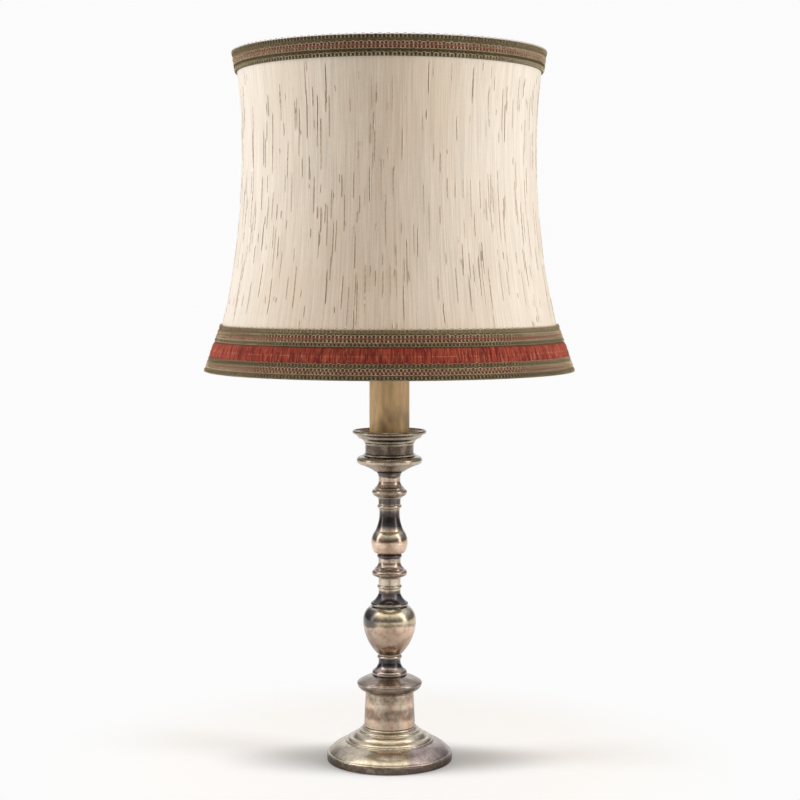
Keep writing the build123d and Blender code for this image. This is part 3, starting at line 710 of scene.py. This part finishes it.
class LAMP_OT_braid(bpy.types.Operator):
    """Sews the three rows of woven braid on the shade"""

    bl_idname = "lamp.braid"
    bl_label = "Braid"

    def execute(self, context):
        settings = context.scene.lamp_shade
        yarns = {
            key: yarn_finish(key + "_yarn", getattr(settings, key))
            for key in ("khaki", "cream", "olive", "rose")
        }
        for node, braid in BRAIDS.items():
            low, high = braid_edges(node)
            rows = [(high / MM - edge, getattr(settings, shade)) for edge, shade in braid["ground"]]
            tape = tape_finish(node + "_ground", rows)
            outline = band_outline(low, high, SEAM, lambda share: TAPE_THICKNESS, 9)
            band = spun_band(node + "_tape", outline, AROUND_STEPS, "shade", tape)
            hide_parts(node)
            for key, yarn in yarns.items():
                lines = []
                for kind, drop, size in braid[key]:
                    z = high - drop * MM
                    if kind == "cord":
                        lines.append(straight_row(z, size))
                    else:
                        pitch = settings.loop_pitch
                        lines.append(loop_row(z, size * MM, pitch, kind == "turned"))
                name = node + "_" + key
                threads(name, lines, settings.loop_thread, "shade", yarn)
            declare_cloth(low, high)
        return {"FINISHED"}


# ---- worn silver plate ------------------------------------------------------------------------
HOLLOW_REACH = 6 * MM  # tarnish gathers where another face is nearer than this
STAIN_SWAY = 7.0  # how far a stain's edges wander up and down, in mm

# How much copper and brown shows, how light the plate is, and its lowest roughness.
WEAR = {
    "foot": (0.10, 0.10, 1.00, 0.09),
    "pedestal_drum": (0.80, 0.22, 1.00, 0.08),
    "pedestal_cap": (0.30, 0.40, 0.88, 0.09),
    "lower_collar": (0.30, 0.35, 0.85, 0.05),
    "vase": (0.35, 0.10, 1.00, 0.05),
    "vase_cap": (0.25, 0.40, 0.90, 0.04),
    "lower_knop": (0.60, 0.20, 0.95, 0.06),
    "baluster": (0.60, 0.20, 0.92, 0.03),
    "upper_knop": (0.50, 0.20, 1.00, 0.06),
    "candle_cup": (0.30, 0.35, 0.80, 0.09),
    "drip_pan": (0.30, 0.30, 0.86, 0.10),
}

# Stains and painted shade: from height, to height, softness of the edge, tone, strength, and the
# side it starts on (0 all round, above 0 right of that x, below 0 left of it), in millimetres.
STAINS_AND_SHADE = {
    "foot": [
        (0, 40, 2, "gold", 0.70, 0),
        # partly mauve tarnish, partly painted shade that darkens the foot's right side
        (0, 19, 3, "mauve", 0.95, 15),
        (-9, 6.2, 0.4, "mauve", 0.80, 0),
        (-9, 6.2, 0.4, "brown", 0.80, 0),
    ],
    "pedestal_drum": [
        # partly brown tarnish, partly painted shadow under the cap's overhang
        (51, 66, 3, "brown", 0.65, 0),
        (37, 46, 2.0, "brown", 0.70, 0),
        # partly tarnish, partly a painted dark reflection along the right edge
        (20, 66, 3, "mauve", 0.75, 21),
    ],
    "pedestal_cap": [(50, 80, 1, "mauve", 0.65, 0), (66, 80, 2, "brown", 0.30, 0)],
    "lower_collar": [(60, 80, 1, "mauve", 0.80, 0), (78.6, 86, 1, "tarnish", 0.97, 0)],
    "vase": [
        (60, 115, 0.8, "copper", 0.95, 0),
        # partly grey tarnish, partly a painted darker reflection on the left side
        (60, 115, 0.8, "mauve", 0.75, -11),
        (115, 140, 0.8, "gold", 0.85, 0),
        # partly tarnish, partly a painted dark reflection on the left side
        (114, 128, 1.0, "tarnish", 0.90, -10),
        (114.4, 117, 0.8, "brown", 0.60, 0),
        (80, 93, 2.5, "brown", 0.70, 0),
    ],
    "vase_cap": [(131.5, 143.5, 1.2, "tarnish", 0.92, 0), (128, 130.5, 0.3, "brown", 0.8, 0)],
    "lower_knop": [
        (150, 175, 2.0, "mauve", 0.55, 0),
        (169.8, 174, 0.5, "tarnish", 0.85, 0),
        (156, 158, 0.5, "brown", 0.70, 0),
    ],
    "baluster": [
        (195, 211, 3.0, "tarnish", 0.95, 0),
        (214.6, 221, 0.6, "tarnish", 0.90, 0),
        (170, 177, 1.0, "brown", 0.70, 0),
        (160, 186, 1.0, "copper", 0.90, 0),
        (184.5, 187, 0.8, "brown", 0.60, 0),
    ],
    "upper_knop": [
        (215, 236, 2.0, "mauve", 0.50, 0),
        (237.6, 241, 0.5, "tarnish", 0.90, 0),
        (222, 224.4, 0.6, "brown", 0.70, 0),
    ],
    "candle_cup": [
        (256.4, 268, 0.6, "brown", 0.97, 0),
        (256.4, 268, 0.6, "tarnish", 0.35, 0),
        (238, 243.5, 0.6, "tarnish", 0.85, 0),
    ],
    "drip_pan": [(262, 282, 1.0, "brown", 0.50, 0)],
}


def lay_stain_or_shade(made, x, height, grain, ground, settings, mark):
    """Lays one stain or painted shade mark over the ground colour, thinner where the grain is low.
    """
    low, high, soft, tone, share, side = mark
    inside = height.step(low - soft, low + soft) * height.step(high + soft, high - soft)
    if tone != "tarnish":
        inside = inside * grain
    if side:
        beyond = x * (1 if side > 0 else -1)
        inside = inside * beyond.step(abs(side) - 3, abs(side) + 4)
    return made.mix(inside * share, ground, getattr(settings, tone))


def plate_finish(node, settings, copper_share, dark_share, light, polish, seed):
    """Silver plate worn to the copper, stained in the necks and grooves, with some painted shade.
    """
    made = Finish("plate_" + node, metallic=1.0, coat_weight=0.25, coat_roughness=0.12)
    x, _, z = made.axes()
    patches = made.noise(55, (1, 1, 1.3), detail=5, roughness=0.62, seed=seed)
    clouds = made.noise(28, (1, 1, 1.5), detail=4, roughness=0.6, seed=seed + 4)
    specks = made.noise(190, detail=6, roughness=0.75, seed=seed + 9)
    rings = made.noise(60, (30, 30, 0.12), detail=3, roughness=0.6, seed=seed + 2)
    worn = patches.step(0.62 - 0.3 * copper_share, 0.80 - 0.3 * copper_share)
    ground = made.mix(worn, settings.silver, settings.copper)
    grain = (specks * 0.6 + patches * 0.4).step(0.38, 0.54) * 0.55 + 0.45
    height = z + (patches - 0.5) * STAIN_SWAY
    for mark in STAINS_AND_SHADE[node]:
        ground = lay_stain_or_shade(made, x, height, grain, ground, settings, mark)
    dull = clouds.step(0.66 - 0.22 * dark_share, 0.86 - 0.22 * dark_share)
    ground = made.mix(dull * 0.75, ground, settings.brown)
    ground = made.mix(specks.step(0.45, 0.64) * 0.38, ground, settings.brown)
    ground = made.mix(rings.step(0.55, 0.75) * 0.30, ground, tint(settings.mauve, 0.7))
    hollow = made.place.node(
        "ShaderNodeAmbientOcclusion", {"samples": 8}, {"Distance": HOLLOW_REACH}, output="AO"
    )
    ground = made.mix(1.0 - light, ground, (0, 0, 0))
    made.set(base_color=made.mix(hollow.step(0.80, 0.30) * 0.9, ground, settings.tarnish))
    made.set(roughness=patches * 0.14 + specks * 0.18 + polish)
    made.bump(patches * 0.4 + specks * 0.3 + rings * 0.3, 0.00012)
    return made.material


class LAMP_OT_plate(bpy.types.Operator):
    """Finishes the turned candlestick in worn silver plate"""

    bl_idname = "lamp.plate"
    bl_label = "Silver plate"

    def execute(self, context):
        settings = context.scene.lamp_metal
        for number, (node, wear) in enumerate(WEAR.items()):
            plate = plate_finish(node, settings, *wear, seed=1.7 * number)
            dress(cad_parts[node], plate)
        return {"FINISHED"}


# ---- candle sleeve ----------------------------------------------------------------------------
class LAMP_OT_sleeve(bpy.types.Operator):
    """Finishes the parchment candle sleeve"""

    bl_idname = "lamp.sleeve"
    bl_label = "Candle sleeve"

    def execute(self, context):
        settings = context.scene.lamp_metal
        made = Finish("sleeve_parchment")
        z = made.axes()[2]
        drips = made.noise(130, (1, 1, 5), detail=3, roughness=0.6)
        stains = made.noise(60, (1, 1, 2), detail=4, seed=3)
        fibre = made.noise(1200, (1, 1, 4), detail=2, seed=6)
        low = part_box("candle_sleeve")[0].z / MM
        foot = z.step(low + 60, low + 36)
        card = settings.sleeve
        shade = made.mix(drips.step(0.35, 0.65), tint(card, 0.80), tint(card, 1.15))
        dirt = stains.step(0.40, 0.64) * (foot * 0.75 + 0.15)
        aged = made.mix(dirt, shade, tint(card, 0.42))
        made.set(base_color=made.mix(fibre.step(0.55, 0.7) * 0.2, aged, tint(card, 1.4)))
        made.set(roughness=drips * 0.25 + 0.42)
        made.bump(drips * 0.6 + fibre * 0.4, 0.0002)
        dress(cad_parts["candle_sleeve"], made.material)
        return {"FINISHED"}


# ---- fittings: what is inside, under and behind -----------------------------------------------
def metal_finish(name, shade, roughness, grain):
    """Plain machined metal with fine turning marks and a little dirt."""
    made = Finish(name, metallic=1.0)
    marks = made.noise(grain, (12, 12, 0.2), detail=3, roughness=0.6)
    dirt = made.noise(90, detail=4, seed=3.3).step(0.45, 0.75)
    bright = made.mix(marks.step(0.35, 0.65), tint(shade, 0.82), shade)
    made.set(base_color=made.mix(dirt * 0.4, bright, tint(shade, 0.45)))
    made.set(roughness=marks * 0.2 + roughness)
    made.bump(marks, 0.00006)
    return made.material


def plain_finish(name, shade, roughness, grain, relief, mottle=0.25):
    """A matt or glossy solid colour with a fine grain and a faint mottle."""
    made = Finish(name)
    speck = made.noise(grain, detail=3, roughness=0.65)
    cloud = made.noise(40, detail=3, seed=5.1).step(0.35, 0.70)
    body = made.mix(speck.step(0.35, 0.65), tint(shade, 1 - mottle), tint(shade, 1.08))
    made.set(base_color=made.mix(cloud * mottle, body, tint(shade, 0.70)))
    made.set(roughness=speck * 0.12 + roughness)
    made.bump(speck, relief)
    return made.material


def glass_finish(name, shade):
    """Clear lamp glass with a faint dust."""
    made = Finish(name, transmission_weight=1.0, ior=1.45)
    dust = made.noise(180, detail=3).step(0.45, 0.8)
    made.set(base_color=made.mix(dust * 0.15, shade, tint(shade, 0.85)))
    made.set(roughness=dust * 0.06 + 0.02)
    return made.material


class LAMP_OT_fittings(bpy.types.Operator):
    """Finishes the weight, rod, lampholder, shade frame and bulb"""

    bl_idname = "lamp.fittings"
    bl_label = "Fittings"

    def execute(self, context):
        finishes = {
            plain_finish("green_felt", (0.055, 0.10, 0.06), 0.9, 900, 0.0004, 0.4): ["felt_pad"],
            metal_finish("zinc_steel", (0.52, 0.53, 0.55), 0.22, 60): [
                "base_plate",
                "rod_washer",
                "rod_nut",
                "threaded_rod",
            ],
            plain_finish("cast_iron", (0.07, 0.068, 0.066), 0.7, 500, 0.0005, 0.3): [
                "ballast_weight"
            ],
            plain_finish("black_rubber", (0.02, 0.02, 0.02), 0.6, 700, 0.0001): ["cord_bush"],
            metal_finish("turned_brass", (0.66, 0.47, 0.20), 0.20, 60): [
                "centring_disc",
                "stack_nut",
                "sleeve_cap",
                "terminal_screws",
                "screw_shell",
                "centre_contact",
            ],
            plain_finish("brown_phenolic", (0.045, 0.022, 0.012), 0.25, 160, 0.00004, 0.35): [
                "lampholder_base",
                "lampholder_skirt",
                "rest_ring",
                "shade_ring_nut",
            ],
            plain_finish("steatite", (0.72, 0.70, 0.62), 0.55, 800, 0.0001): ["contact_block"],
            plain_finish("white_lacquered_wire", (0.66, 0.63, 0.55), 0.35, 300, 0.00005): [
                "fitter_ring",
                "bottom_wire",
                "top_wire",
                "spider_arms",
            ],
            plain_finish("shade_card", (0.78, 0.72, 0.60), 0.6, 420, 0.00008, 0.15): [
                "shade_liner"
            ],
            metal_finish("bright_cap", (0.72, 0.72, 0.73), 0.18, 80): ["bulb_cap", "bulb_contact"],
            plain_finish("black_glass", (0.012, 0.012, 0.016), 0.08, 200, 0.00002): [
                "bulb_insulator"
            ],
            metal_finish("tungsten_wire", (0.25, 0.24, 0.23), 0.35, 300): ["filament"],
            glass_finish("bulb_glass_clear", (0.97, 0.97, 0.95)): ["bulb_glass"],
            glass_finish("stem_glass", (0.93, 0.95, 0.92)): ["bulb_stem"],
        }
        for material, nodes in finishes.items():
            for node in nodes:
                dress(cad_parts[node], material)
        return {"FINISHED"}


# ---- stage ------------------------------------------------------------------------------------
LEFT_LAMP, COOL = (-1.29, -0.11, 0.66), (0.98, 0.99, 1.0)
RIGHT_LAMP, WARM = (1.23, -0.42, 0.66), (1.0, 0.99, 0.97)
RIGHT_SHARE = 0.91  # of the left lamp's power
LAMP_SIZE = (0.45, 1.3)
LAMP_AIM = Vector((0, 0, 0.33))
FLOOR_RADIUS = 30.0
FLOOR_LIFT = 0.05 * MM  # so that light from below reaches the felt's underside
SHADOW = (0.045, 0.16)  # the contact shadow is full within the first radius, gone at the second
FADE = (0.16, 0.30)  # the floor turns plain white between these radii


def lamp_light(name, place, power, shade):
    """A tall soft lamp aimed at the object's middle; gloss sees the world's white boxes instead."""
    light = bpy.data.lights.new(name, "AREA")
    light.shape = "RECTANGLE"
    light.size, light.size_y = LAMP_SIZE
    light.energy = power
    light.color = shade
    lamp = bpy.data.objects.new(name, light)
    lamp.visible_glossy = False
    lamp.location = place
    lamp.rotation_euler = (LAMP_AIM - lamp.location).to_track_quat("-Z", "Y").to_euler()
    bpy.context.scene.collection.objects.link(lamp)


def studio_world(fill):
    """White to the camera, through glass and in gloss from the sides and back, and a soft fill."""
    world = bpy.data.worlds.new("studio")
    start = empty_tree(world)
    rays = start.node("ShaderNodeLightPath").siblings()
    outlook = start.node("ShaderNodeTexCoord", output="Generated")
    parts = start.node("ShaderNodeSeparateXYZ", sockets={0: outlook}).siblings()
    x, y, z = (parts[axis] for axis in "XYZ")
    # The room as gloss sees it, from behind the object (0) round to the camera's side (1).
    front = y * -0.5 + 0.5
    ring = [
        (0.0, (1.0, 1.0, 1.0)),
        (0.03, (0.90, 0.90, 0.90)),
        (0.10, (0.24, 0.24, 0.26)),
        (0.45, (0.26, 0.26, 0.28)),
        (0.60, (0.50, 0.49, 0.48)),
        (0.78, (0.42, 0.40, 0.38)),
        (1.0, (0.16, 0.155, 0.15)),
    ]
    room = start.node("ShaderNodeValToRGB", {"stops": ring}, {"Fac": front})
    # Two white boxes, left and right, whose places differ a little, and a bright ceiling.
    turned = front - x * 0.055
    side = abs(x).step(0.40, 0.75)
    boxes = turned.step(0.51, 0.56) * turned.step(0.70, 0.65) * side
    strength = z.step(0.20, 0.85) * 3.5 + boxes * 4.6 + 1.0
    seen = start.math("MAXIMUM", rays["Is Camera Ray"], rays["Is Transmission Ray"])
    ambient = start.node("ShaderNodeBackground", sockets={"Color": (*fill, 1.0), "Strength": 1.0})
    gloss = start.node("ShaderNodeBackground", sockets={"Color": room, "Strength": strength})
    white = start.node("ShaderNodeBackground", sockets={"Color": WHITE, "Strength": 1.0})
    polished = rays["Is Glossy Ray"]
    lit = start.node("ShaderNodeMixShader", sockets={0: polished, 1: ambient, 2: gloss})
    shown = start.node("ShaderNodeMixShader", sockets={0: seen, 1: lit, 2: white})
    shown.show("ShaderNodeOutputWorld")
    bpy.context.scene.world = world


def floor_material():
    """White floor: its shadow, a painted contact shadow, a painted glow in gloss; fades to white;
    clear from below.
    """
    material = bpy.data.materials.new("studio_floor")
    start = empty_tree(material)
    rays = start.node("ShaderNodeLightPath").siblings()
    seen, gloss = rays["Is Camera Ray"], rays["Is Glossy Ray"]
    place = start.node("ShaderNodeTexCoord", output="Object")
    parts = start.node("ShaderNodeSeparateXYZ", sockets={0: place}).siblings()
    x, y = parts["X"], parts["Y"]
    far = (x * x + y * y).root()
    beside = (x * x + y * y * 6.0).root()
    # painted contact shadow: the paper darkens round the foot
    shade = beside.step(*SHADOW) * 0.45 + 0.45
    aside = abs(x).step(0.04, 0.30)
    paper = start.node("ShaderNodeBsdfDiffuse", sockets={"Color": (0.80, 0.89, 1.0, 1.0)})
    dim = start.node("ShaderNodeBsdfDiffuse", sockets={"Color": (0.05, 0.05, 0.05, 1.0)})
    shaded = start.node("ShaderNodeMixShader", sockets={0: shade, 1: dim, 2: paper})
    # Painted light: the floor glows for glossy rays at the sides, a painted reflection in low
    # metal.
    floor_painted_glow = seen * (shade * 0.31 + 0.04) + gloss * aside * 0.60
    lift = start.node("ShaderNodeEmission", sockets={"Color": (1, 1, 1, 1), "Strength": floor_painted_glow})
    near = start.node("ShaderNodeAddShader", sockets={0: shaded, 1: lift})
    clear = start.node("ShaderNodeEmission", sockets={"Color": WHITE, "Strength": 1.0})
    away = start.node("ShaderNodeMixShader", sockets={0: seen, 1: near, 2: clear})
    top = start.node("ShaderNodeMixShader", sockets={0: far.step(*FADE), 1: near, 2: away})
    under = start.node("ShaderNodeNewGeometry", output="Backfacing")
    clear_under = start.node("ShaderNodeBsdfTransparent")
    shown = start.node("ShaderNodeMixShader", sockets={0: under, 1: top, 2: clear_under})
    shown.show("ShaderNodeOutputMaterial")
    return material


class LAMP_OT_stage(bpy.types.Operator):
    """Sets the floor, the lights and the camera"""

    bl_idname = "lamp.stage"
    bl_label = "Stage"

    def execute(self, context):
        settings = context.scene.lamp_stage
        bm = bmesh.new()
        bmesh.ops.create_circle(bm, cap_ends=True, segments=96, radius=FLOOR_RADIUS)
        mesh = bpy.data.meshes.new("floor")
        bm.to_mesh(mesh)
        bm.free()
        floor = bpy.data.objects.new("floor", mesh)
        floor.location.z = FLOOR_LIFT
        dress(floor, floor_material())
        context.scene.collection.objects.link(floor)
        power = settings.side_power
        lamp_light("left_softbox", LEFT_LAMP, power, COOL)
        lamp_light("right_softbox", RIGHT_LAMP, power * RIGHT_SHARE, WARM)
        studio_world(settings.fill)
        camera = bpy.data.objects.new("camera", bpy.data.cameras.new("camera"))
        camera.data.sensor_width = 36.0
        camera.data.lens = settings.lens
        camera.location = (settings.offset, -settings.distance, settings.height)
        camera.rotation_euler = (pi / 2 - settings.tilt, 0, 0)
        context.scene.collection.objects.link(camera)
        context.scene.camera = camera
        context.scene.view_settings.view_transform = "Standard"
        return {"FINISHED"}


# ---- panel ------------------------------------------------------------------------------------
OPERATORS = (
    LAMP_OT_plate,
    LAMP_OT_sleeve,
    LAMP_OT_fittings,
    LAMP_OT_silk,
    LAMP_OT_velvet,
    LAMP_OT_braid,
    LAMP_OT_stage,
)
GROUPS = {
    "lamp_shade": ShadeSettings,
    "lamp_metal": MetalSettings,
    "lamp_stage": StageSettings,
}


class LAMP_PT_pieces(bpy.types.Panel):
    """Lists the lamp's pieces and settings"""

    bl_idname = "LAMP_PT_pieces"
    bl_label = "Candlestick lamp"
    bl_space_type = "VIEW_3D"
    bl_region_type = "UI"
    bl_category = "Lamp"

    def draw(self, context):
        for operator in OPERATORS:
            self.layout.operator(operator.bl_idname)
        for group, settings in GROUPS.items():
            box = self.layout.box()
            for name in settings.__annotations__:
                box.prop(getattr(context.scene, group), name)


def register():
    """Adds the settings, the operators and the panel."""
    for group, settings in GROUPS.items():
        bpy.utils.register_class(settings)
        setattr(bpy.types.Scene, group, bpy.props.PointerProperty(type=settings))
    for made in (*OPERATORS, LAMP_PT_pieces):
        bpy.utils.register_class(made)


def unregister():
    """Removes what register added."""
    for made in (LAMP_PT_pieces, *reversed(OPERATORS)):
        bpy.utils.unregister_class(made)
    for group, settings in GROUPS.items():
        delattr(bpy.types.Scene, group)
        bpy.utils.unregister_class(settings)


def main():
    """Builds every piece."""
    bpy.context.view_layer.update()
    register()
    bpy.ops.lamp.plate()
    bpy.ops.lamp.sleeve()
    bpy.ops.lamp.fittings()
    bpy.ops.lamp.silk()
    bpy.ops.lamp.velvet()
    bpy.ops.lamp.braid()
    bpy.ops.lamp.stage()


if __name__ == "__main__":
    main()
